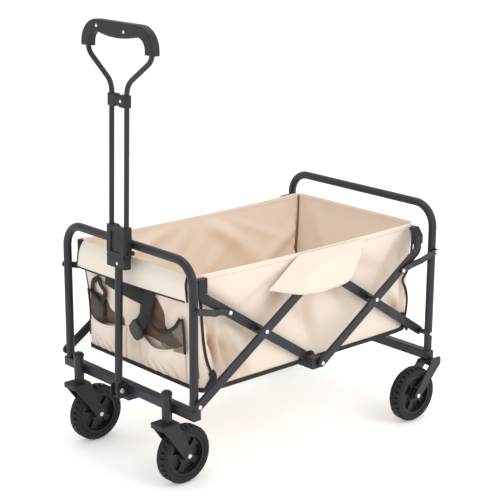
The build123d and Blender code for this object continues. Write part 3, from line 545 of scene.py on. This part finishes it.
FRONT_SEAM = ((-0.376, 0.541), (-0.373, 0.480), (-0.370, 0.433), (-0.364, 0.368), (-0.356, 0.318),
              (-0.345, 0.288), (-0.352, 0.262), (-0.362, 0.247))
REAR_SEAM = ((0.386, 0.541), (0.387, 0.500), (0.388, 0.455), (0.380, 0.415), (0.372, 0.385),
             (0.384, 0.345), (0.388, 0.312), (0.382, 0.275), (0.366, 0.247))
for side, hand in ((-1, "right"), (1, "left")):
    for seam, end in ((FRONT_SEAM, "front"), (REAR_SEAM, "rear")):
        path = []
        for spot in smooth_path([Vector((x, 0, z)) for x, z in seam], 6):
            share = (spot.z - BOTTOM_Z) / (bag_high.z - BOTTOM_Z)
            path.append(wall_point(spot.x, side * HALF_Y, 0, side, share) + Vector((0, side * 0.0014, 0)))
        name = f"{end}_seam_{hand}"
        hang(tape(name, path, SEAM_TAPE, TAPE_THICK, (0, side, 0), 1), (webbing_black,), "dark_fabric")

INSIDE_IN = 0.0042      # the inner corner seams stand this far inside the bag's outer face
seam_shade = Finish("shaded_inner_seam", (0.20, 0.085, 0.035), 0.8)
seam_shade.set("Base Color", seam_shade.blend_colours(seam_shade.cloud(60.0), (0.13, 0.05, 0.02),
                                                      (0.30, 0.14, 0.06)))
seam_shade.relief(seam_shade.cloud(500.0), 0.0003, 0.5)
for end in (-1, 1):
    for side in (-1, 1):
        path = []
        for share in np.linspace(0.10, 0.985, 50):
            lean = CORNER * (1 - math.sqrt(0.5))
            spot = wall_point(end * (HALF_X - lean), side * (HALF_Y - lean), end * 0.7, side * 0.7, share)
            path.append(spot - Vector((end, side, 0)) * INSIDE_IN * 0.7)
        word = ("front" if end < 0 else "rear") + ("_right" if side < 0 else "_left")
        hang(tape(f"inner_seam_{word}", path, 0.0050, 0.0024, (-end, -side, 0), 1),
             (seam_shade,), "dark_fabric")
        if end < 0:
            outside = [spot + Vector((end, side, 0)) * (INSIDE_IN * 0.7 + 0.0010) for spot in path]
            hang(tape(f"corner_binding_{word}", outside, CORNER_TAPE, 0.0024, (end, side, 0), 1),
                 (webbing_black,), "dark_fabric")

# ------------------------------------------------------------------ rim hem and its stitching
# The rim is turned outwards into a double hem and sewn down with one row of thick thread.
HEM_DEEP = 0.016
hem_points = []
HEM_PROFILE = ((-0.0026, -HEM_DEEP), (0.0004, -HEM_DEEP), (0.0014, -HEM_DEEP / 2), (0.0008, -0.001),
               (-0.0008, 0.0012), (-0.0026, 0.0004))
for spot in outline:
    base = wall_point(*spot, 1.0)
    for out, rise in HEM_PROFILE:
        hem_points.append(base + Vector((spot[2] * out, spot[3] * out, rise)))
hem_faces = []
n = len(HEM_PROFILE)
for i in range(len(outline)):
    j = (i + 1) % len(outline)
    hem_faces += [(i * n + k, j * n + k, j * n + (k + 1) % n, i * n + (k + 1) % n) for k in range(n)]
hang(make("rim_hem", hem_points, hem_faces, modifiers=(ROUNDED,)), (outer_cloth,), "cream_fabric")

thread = Finish("cream_thread", (0.80, 0.66, 0.50), 0.6)
thread.set("Base Color", thread.blend_colours(thread.cloud(300.0), (0.70, 0.55, 0.40), (0.84, 0.72, 0.58)))
thread.relief(thread.cloud(900.0), 0.0003, 0.5)
STITCH = 0.0038


def stitch_row(name, line, out, finish=thread, size=0.0005, gap=0.45):
    """A row of stitches along a line of points, each a small rounded bead lying on the cloth."""
    points, faces = [], []
    lengths = [0.0]
    for a, b in zip(line, line[1:]):
        lengths.append(lengths[-1] + (b - a).length)
    position, k = 0.0, 0
    while position + STITCH < lengths[-1]:
        ends = []
        for reach in (position, position + STITCH * (1 - gap)):
            while k < len(lengths) - 2 and lengths[k + 1] < reach:
                k += 1
            share = (reach - lengths[k]) / max(1e-9, lengths[k + 1] - lengths[k])
            ends.append(line[k].lerp(line[k + 1], share))
        away = Vector(out(ends[0]) if callable(out) else out)
        along = (ends[1] - ends[0]).normalized()
        across = along.cross(away).normalized() * size
        rise = away * size
        first = len(points)
        for end in ends:
            points += [end - across, end + rise, end + across, end - rise]
        faces += [(first, first + 1, first + 5, first + 4), (first + 1, first + 2, first + 6, first + 5),
                  (first + 2, first + 3, first + 7, first + 6), (first + 3, first, first + 4, first + 7),
                  (first + 3, first + 2, first + 1, first), (first + 4, first + 5, first + 6, first + 7)]
        position += STITCH
    return make(name, points, faces)


hem_line = [wall_point(*spot, 1.0) + Vector((spot[2] * 0.0014, spot[3] * 0.0014, -HEM_DEEP * 0.7))
            for spot in outline]
hang(stitch_row("hem_stitching", hem_line + hem_line[:1], outward), (thread,), "cream_fabric")

# ------------------------------------------------------------------ hoods over the mid pivots
# On each side a piece of canvas sewn under the rim hangs outside the upper mid pivot, and
# hides the bar ends. Its front edge is a slanting fold, and the rest hangs in a soft curve.
HOOD_OUT = 0.0545       # how far the hood stands out from the bag over the pivot
HOOD_RIM = ((-0.049, 0.0), (0.192, 1.0))
HOOD_FOOT = ((-0.166, 0.468), (-0.120, 0.458), (-0.082, 0.4495), (-0.020, 0.4440), (0.050, 0.4450),
             (0.088, 0.4520), (0.108, 0.4700), (0.150, 0.5130), (0.192, 0.5372))
ROOF = 0.30             # share of the hood's length that slopes outwards from the rim
ROOF_DROP = 0.024
HOOD_ROLL = 0.22        # share of the hood's length in which it rises from its front edge
HOOD_CLOSE = 0.29       # and in which it comes back to the wall at its rear end
CLOTH_EDGE = 0.0014     # thickness of single cloth


def along_foot(share):
    """Where the hood's lower edge is, share 0 at its front corner and 1 at its rear one."""
    x = HOOD_FOOT[0][0] + (HOOD_FOOT[-1][0] - HOOD_FOOT[0][0]) * share
    for (x0, z0), (x1, z1) in zip(HOOD_FOOT, HOOD_FOOT[1:]):
        if x <= x1 + 1e-9:
            return x, z0 + (z1 - z0) * (x - x0) / (x1 - x0)
    return HOOD_FOOT[-1]


for side, hand in ((-1, "right"), (1, "left")):
    points = []
    columns, rows = 40, 22
    for r in range(rows):
        down = r / (rows - 1)
        for c in range(columns):
            across = c / (columns - 1)
            rim_x = HOOD_RIM[0][0] + (HOOD_RIM[1][0] - HOOD_RIM[0][0]) * across
            foot_x, foot_z = along_foot(across)
            x = rim_x + (foot_x - rim_x) * down
            rim_z = bag_high.z - 0.004 - RIM_DIP
            roof = min(1.0, down / ROOF)
            fall = max(0.0, (down - ROOF) / (1 - ROOF))
            z = rim_z - ROOF_DROP * roof + (foot_z - rim_z + ROOF_DROP) * fall
            slanted = rim_z + (foot_z - rim_z) * down
            spread = min(1.0, across / HOOD_ROLL)
            spread = spread * spread * (3 - 2 * spread)
            z = slanted + (z - slanted) * spread
            close = min(1.0, (1 - across) / HOOD_CLOSE)
            spread *= close * close * (3 - 2 * close)
            stand = 0.0012 + (0.0013 + 0.013 * down) * (1 - across) * (1 - spread)
            stand += HOOD_OUT * spread * math.sin(roof * math.pi / 2) * (1 - 0.05 * fall)
            stand += 0.0030 * spread * fall * noise.noise(Vector((x * 21, z * 12, side)))
            stand -= 0.0045 * spread * fall * math.exp(-((across - 0.45 - 0.12 * down) / 0.04) ** 2)
            points.append((middle_x + x, side * (HALF_Y + stand), z))
    hood = make(f"pivot_hood_{hand}", points, grid_faces(rows, columns),
                modifiers=(thick(CLOTH_EDGE, 0.0), ROUNDED))
    hang(hood, (outer_cloth,), "cream_fabric", *(("side_flaps",) if side < 0 else ()))
    foot = [Vector(points[(rows - 2) * columns + c]) + Vector((0, side * 0.0012, 0))
            for c in range(1, columns - 1)]
    hang(stitch_row(f"hood_stitching_{hand}", foot, (0, side, 0)), (thread,), "cream_fabric")

# ------------------------------------------------------------------ folded-over front band
# The front wall's top is folded outwards and hangs down over the front, bound in thin black
# tape at its foot and ends, so that it can be turned up over the front bar.
band_cloth = canvas("cream_canvas_band", (0.86, 0.79, 0.70), (0.80, 0.72, 0.62))
front_x = middle_x - HALF_X
BAND_FOOT = 0.474
BAND_END = 0.206        # the band's left end at the rim
BAND_LENGTH = 0.424
BAND_FLARE = (0.021, 0.028)     # how much further the left end and the length reach at the foot
band_points = []
columns, rows = 50, 16
for r in range(rows):
    down = r / (rows - 1)
    for c in range(columns):
        across = c / (columns - 1)
        y = BAND_END + BAND_FLARE[0] * down ** 0.8 - (BAND_LENGTH + BAND_FLARE[1] * down ** 0.8) * across
        foot_z = BAND_FOOT + 0.009 * across
        z = bag_high.z + 0.001 - (bag_high.z - foot_z) * down - 0.003 * math.sin(across * 3.1) * down
        lean = 0.002 + 0.0095 * math.sin(min(1.0, down * 2.2) * math.pi / 2) - 0.002 * down
        wave = 0.0012 * noise.noise(Vector((y * 14, z * 12, 4.0))) * down
        band_points.append((front_x - lean - wave, y, z))
band = make("front_band_cloth", band_points, grid_faces(rows, columns),
            modifiers=(thick(CLOTH_EDGE, 0.0), ROUNDED))
hang(band, (band_cloth,), "cream_fabric", "front_band")
foot_line = [Vector(band_points[(rows - 1) * columns + c]) for c in range(0, columns, 3)]
hang(tape("band_foot_binding", foot_line, 0.0042, 0.0030, (-1, 0, 0), 3), (webbing_black,), "dark_fabric")
for c, hand in ((0, "left"), (columns - 1, "right")):
    end_line = [Vector(band_points[r * columns + c]) for r in range(0, rows, 3)]
    hang(tape(f"band_end_binding_{hand}", end_line, 0.0050, 0.0030, (-1, 0, 0), 3),
         (webbing_black,), "dark_fabric")

# ------------------------------------------------------------------ webbing and buckle in front
# A wide webbing strap is sewn across the front wall, and a second one hangs from under the
# band with half of a side-release buckle on its end: together they hold the folded cart shut.
def front_spot(y, z, out=0.0):
    """A point on the front wall, out in front of it."""
    share = (z - BOTTOM_Z) / (bag_high.z - BOTTOM_Z)
    spot = wall_point(-HALF_X, y, -1, 0, min(1.0, max(0.0, share)))
    return Vector((spot.x - out, y, z))


WEBBING_THICK = 0.0018
WEBBING_WIDE = 0.040
STRAP_WIDE = 0.038
CLOSING = ((0.120, 0.468), (0.09, 0.462), (0.03, 0.453), (-0.03, 0.447), (-0.062, 0.443))
webbing = tape("closing_webbing", [front_spot(y, z, 0.0035) for y, z in CLOSING], WEBBING_WIDE,
               WEBBING_THICK, (-1, 0, 0))
hang(webbing, (webbing_black,), "dark_fabric")
HANGING = ((-0.074, 0.482, 0.006), (-0.067, 0.458, 0.010), (-0.059, 0.430, 0.015), (-0.050, 0.406, 0.019),
           (-0.038, 0.387, 0.021), (-0.026, 0.374, 0.022))
strap = tape("hanging_strap", [front_spot(y, z, out) for y, z, out in HANGING], STRAP_WIDE,
             WEBBING_THICK, (-1, 0, 0))
hang(strap, (webbing_black,), "dark_fabric")

buckle_finish = Finish("buckle_plastic", (0.012, 0.012, 0.013), 0.35)
buckle_finish.set("Base Color", buckle_finish.blend_colours(buckle_finish.cloud(30.0), (0.008, 0.008, 0.009),
                                                            (0.020, 0.020, 0.022)))
buckle_finish.relief(buckle_finish.cloud(800.0), 0.0002, 0.5)
BUCKLE = ((-0.020, 0.022), (-0.024, 0.010), (-0.022, -0.012), (-0.014, -0.023), (0.014, -0.023),
          (0.022, -0.012), (0.024, 0.010), (0.020, 0.022), (0.008, 0.026), (-0.008, 0.026))
BUCKLE_HALF_T = 0.0065
buckle_centre = front_spot(-0.014, 0.361, 0.021)
turn = Matrix.Rotation(math.radians(128), 3, "X")
rim_count = len(BUCKLE)
buckle_points = []
for x_out in (-BUCKLE_HALF_T, BUCKLE_HALF_T):
    for across, up in BUCKLE:
        buckle_points.append(buckle_centre + turn @ Vector((x_out, across, up)))
buckle_faces = [tuple(range(rim_count)), tuple(reversed(range(rim_count, 2 * rim_count)))]
for i in range(rim_count):
    j = (i + 1) % rim_count
    buckle_faces.append((i, i + rim_count, j + rim_count, j))
buckle = make("side_release_buckle", buckle_points, buckle_faces, smooth=False,
              modifiers=(("BEVEL", {"width": 0.0028, "segments": 3}),))
hang(buckle, (buckle_finish,), "dark_fabric")

# ------------------------------------------------------------------ drink pockets
# Two pouches on the front wall: canvas below, a net panel at the outer side, a taped rim, and
# a dark brown sheet of painted shade inside the mouth. Both sag open.
# Painted shade: a dark brown sheet laid inside each pocket's mouth.
mouth_shade = canvas("pocket_mouth_shade", (0.16, 0.080, 0.040), (0.085, 0.040, 0.018))
net = Finish("grey_net", (0.30, 0.28, 0.26), 0.8)
net_place = net.node("ShaderNodeSeparateXYZ", None, {0: net.place()})
net_y, net_z = Tap(net, net_place.link.node.outputs[1]), Tap(net, net_place.link.node.outputs[2])
knots = (net_y * 1900.0).sine() * (net_z * 1900.0).sine()
net.set("Base Color", net.blend_colours(net.cloud(40.0), (0.075, 0.062, 0.050), (0.17, 0.145, 0.115)))
net.set("Alpha", (knots > -0.1) * 0.5 + 0.30)
net.relief(knots, 0.0004, 0.6)

POUCH_BELLY = 0.021     # how far a pouch sags open at its rim
POUCH_PUCKER = 0.0034   # depth of the gathers at its foot
NET_TAPE_THICK = 0.0026
POCKETS = {  # places across the cart and heights
    "right": dict(mouth_shade=((-0.008, 0.345), (-0.005, 0.400), (-0.022, 0.440), (-0.052, 0.460), (-0.086, 0.455),
                          (-0.102, 0.425), (-0.110, 0.388), (-0.150, 0.372), (-0.172, 0.342)),
                  span=(-0.002, -0.184), rim=0.358, rim_dip=0.026,
                  net=((-0.096, -0.190), (0.350, 0.381, 0.430)), foot=0.258),
    "left": dict(mouth_shade=((0.070, 0.345), (0.075, 0.365), (0.120, 0.375), (0.140, 0.405), (0.195, 0.405),
                         (0.206, 0.33)), span=(0.208, 0.060), rim=0.346, rim_dip=0.008,
                 net=((0.203, 0.140), (0.345, 0.415, 0.380)), foot=0.258),
}
for hand, shape in POCKETS.items():
    side = -1 if hand == "right" else 1
    rim_z, dip = shape["rim"], shape["rim_dip"]
    y0, y1 = shape["span"]
    points, fold_shading = [], []
    columns, rows = 44, 22
    for r in range(rows):
        down = r / (rows - 1)
        for c in range(columns):
            across = c / (columns - 1)
            y = y0 + (y1 - y0) * across
            z = rim_z - dip * math.sin(math.pi * across) * (1 - down) - (rim_z - shape["foot"]) * down
            round_off = max(0.0, math.sin(math.pi * across)) ** 0.6
            belly = round_off * math.cos(down * math.pi / 2) ** 0.7 * POUCH_BELLY
            fold = 0.004 * noise.noise(Vector((y * 26, z * 22, 8.0)))
            fold += 0.003 * math.sin(across * 17 + down * 6)
            fold *= round_off * math.sin(math.pi * min(1.0, down * 1.2))
            pucker = math.sin(across * 31 + 2.2 * math.sin(down * 5)) * math.exp(-((down - 0.80) / 0.22) ** 2)
            fold += POUCH_PUCKER * pucker * round_off
            # Painted shade in the troughs of the gathers and towards the pouch's foot.
            fold_shading.append(max(0.0, min(0.8, -0.75 * pucker * round_off + 0.30 * max(0.0, down - 0.75) * 4)))
            points.append(front_spot(y, z, max(0.0006, 0.0008 + belly + fold)))
    pouch = make(f"pocket_pouch_{hand}", points, grid_faces(rows, columns),
                 modifiers=(thick(CLOTH_EDGE, 0.0), ROUNDED), fold_shading=fold_shading)
    hang(pouch, (outer_cloth,), "cream_fabric", f"drink_pocket_{hand}")
    rim_line = [points[c] for c in range(0, columns, 3)] + [points[columns - 1]]
    stitch_line = [p + Vector((-0.0012, 0, -0.005)) for p in smooth_path(rim_line, 4)]
    hang(stitch_row(f"pocket_stitching_{hand}", stitch_line, (-1, 0, 0)), (thread,), "cream_fabric")
    # The outline of the painted shade inside the mouth.
    patch = shape["mouth_shade"]
    centre = Vector((sum(y for y, z in patch) / len(patch), sum(z for y, z in patch) / len(patch)))
    edge_line = smooth_path([Vector((y, z, 0)) for y, z in patch + patch[:1]], 5)[:-1]
    points = []
    levels = 5
    for level in range(levels):
        scale = 1 - level / levels * 0.98
        for spot in edge_line:
            y, z = centre.x + (spot.x - centre.x) * scale, centre.y + (spot.y - centre.y) * scale
            points.append(front_spot(y, z, 0.0016 + 0.002 * (1 - scale)))
    faces = grid_faces(levels, len(edge_line), True)
    faces.append(tuple((levels - 1) * len(edge_line) + i for i in range(len(edge_line))))
    hang(make(f"pocket_mouth_shade_{hand}", points, faces), (mouth_shade,), "cream_fabric")
    (ny0, ny1), (low_z, mid_z, high_z) = shape["net"]
    points = []
    columns, rows = 14, 12
    for r in range(rows):
        up = r / (rows - 1)
        for c in range(columns):
            across = c / (columns - 1)
            y = ny0 + (ny1 - ny0) * across
            top = mid_z + (high_z - mid_z) * across ** 2
            z = low_z - 0.012 + (top - low_z + 0.012) * up
            points.append(front_spot(y, z, 0.007 + 0.009 * math.sin(math.pi * across) * (1 - 0.5 * up)))
    hang(make(f"pocket_net_{hand}", points, grid_faces(rows, columns)), (net,), "cream_fabric")
    rim = [points[(rows - 1) * columns + c] + Vector((-0.001, 0, 0)) for c in range(columns)]
    if hand == "left":
        hang(tape("net_rim_left", rim, 0.0075, NET_TAPE_THICK, (-1, 0, 0), 2),
             (webbing_black,), "dark_fabric")
    post_column = columns - 1 if side < 0 else 0
    trim = [points[r * columns + post_column] + Vector((-0.001, 0, 0)) for r in range(rows)]
    hang(tape(f"net_trim_{hand}", trim, SEAM_TAPE, NET_TAPE_THICK, (-1, 0, 0), 2),
         (webbing_black,), "dark_fabric")

RIM_STRAP = ((-0.052, 0.404, 0.021), (-0.074, 0.388, 0.020), (-0.106, 0.380, 0.019), (-0.140, 0.388, 0.018),
             (-0.166, 0.405, 0.014), (-0.184, 0.430, 0.010))
hang(tape("pocket_rim_strap", [front_spot(y, z, out) for y, z, out in RIM_STRAP], 0.0095, 0.0020, (-1, 0, 0)),
     (webbing_black,), "dark_fabric")

LOOP = ((0.150, 0.458), (0.168, 0.446), (0.184, 0.424), (0.178, 0.402), (0.158, 0.392), (0.140, 0.398),
        (0.132, 0.420), (0.140, 0.440), (0.150, 0.455))
hang(tape("webbing_loop", [front_spot(y, z, 0.006 + 0.004 * (i % 2)) for i, (y, z) in enumerate(LOOP)],
          0.0145, WEBBING_THICK, (-1, 0, 0)), (webbing_black,), "dark_fabric")
LOOP_TAIL = ((0.150, 0.402), (0.146, 0.380), (0.150, 0.362), (0.160, 0.350))
hang(tape("loop_tail", [front_spot(y, z, 0.008) for y, z in LOOP_TAIL], 0.022, WEBBING_THICK, (-1, 0, 0)),
     (webbing_black,), "dark_fabric")

# ------------------------------------------------------------------ corner straps
# Webbing tabs sewn to the bag's bottom corners run out to the foot pivots, and keep the floor
# stretched.
TAB_WIDE = 0.019
TAB_LINE = ((0.0, 0.292, 0.0015), (0.006, 0.276, 0.0035), (-0.006, 0.262, 0.0035), (-0.020, 0.249, 0.0020),
            (-0.030, 0.2445, 0.0))
for end, end_word in ((-1, "front"), (1, "rear")):
    for side, hand in ((-1, "right"), (1, "left")):
        seam_x = -FRONT_SEAM[5][0] if end < 0 else REAR_SEAM[6][0] - 0.010
        path = []
        for x, z, out in TAB_LINE:
            share = (z - BOTTOM_Z) / (bag_high.z - BOTTOM_Z)
            spot = wall_point(end * (seam_x - x), side * HALF_Y, 0, side, share)
            path.append(Vector((spot.x, spot.y + side * out, z)))
        tab = tape(f"corner_tab_{end_word}_{hand}", path, TAB_WIDE, 0.0022, (end * 0.1, side, 0.1))
        hang(tab, (webbing_black,), "dark_fabric", *(("corner_straps",) if end < 0 and side < 0 else ()))

# ------------------------------------------------------------------ floor, light and camera
# A seamless white studio sweep under broad soft light, seen from the front right-hand corner.
sweep = Finish("studio_white", (0.95, 0.95, 0.95), 0.9)
sweep.set("Emission Color", (1.0, 1.0, 1.0, 1.0))
sweep.set("Emission Strength", 0.25)
floor = make("studio_floor", [(-30, -30, -0.0005), (30, -30, -0.0005), (30, 30, -0.0005), (-30, 30, -0.0005)],
             [(0, 1, 2, 3)], smooth=False)
floor.data.materials.append(sweep.material)

scene = bpy.context.scene
scene.view_settings.view_transform = "Standard"
world = bpy.data.worlds.new("studio")
scene.world = world
world.use_nodes = True
world.node_tree.nodes["Background"].inputs[0].default_value = (1.0, 1.0, 1.0, 1.0)
world.node_tree.nodes["Background"].inputs[1].default_value = 0.88


def softbox(name, place, target, size, power):
    light = bpy.data.lights.new(name, "AREA")
    light.shape = "SQUARE"
    light.size = size
    light.energy = power
    lamp = bpy.data.objects.new(name, light)
    scene.collection.objects.link(lamp)
    lamp.location = place
    lamp.rotation_euler = (Vector(target) - Vector(place)).to_track_quat("-Z", "Y").to_euler()


softbox("key_light", (0.6, -3.2, 2.6), (0, 0, 0.4), 2.2, 36)
softbox("fill_light", (-3.0, -1.0, 2.2), (0, 0, 0.4), 2.0, 4)
softbox("top_light", (0.3, 0.5, 3.6), (0, 0, 0.3), 2.6, 22)

EYE = Vector((-2.4895 + middle_x, -2.7486, 1.5341))
YAW, PITCH, ROLL = math.radians(42.1226), math.radians(15.7024), math.radians(0.3136)
ahead = Vector((math.sin(YAW) * math.cos(PITCH), math.cos(YAW) * math.cos(PITCH), -math.sin(PITCH)))
level = Vector((math.cos(YAW), -math.sin(YAW), 0))
upright = level.cross(ahead)
right = level * math.cos(ROLL) + upright * math.sin(ROLL)
above = upright * math.cos(ROLL) - level * math.sin(ROLL)
lens = bpy.data.cameras.new("camera")
lens.lens = 103.189
lens.sensor_width = 36.0
camera = bpy.data.objects.new("camera", lens)
scene.collection.objects.link(camera)
turned = Matrix((right, above, -ahead)).transposed().to_4x4()
camera.matrix_world = Matrix.Translation(EYE) @ turned
scene.camera = camera
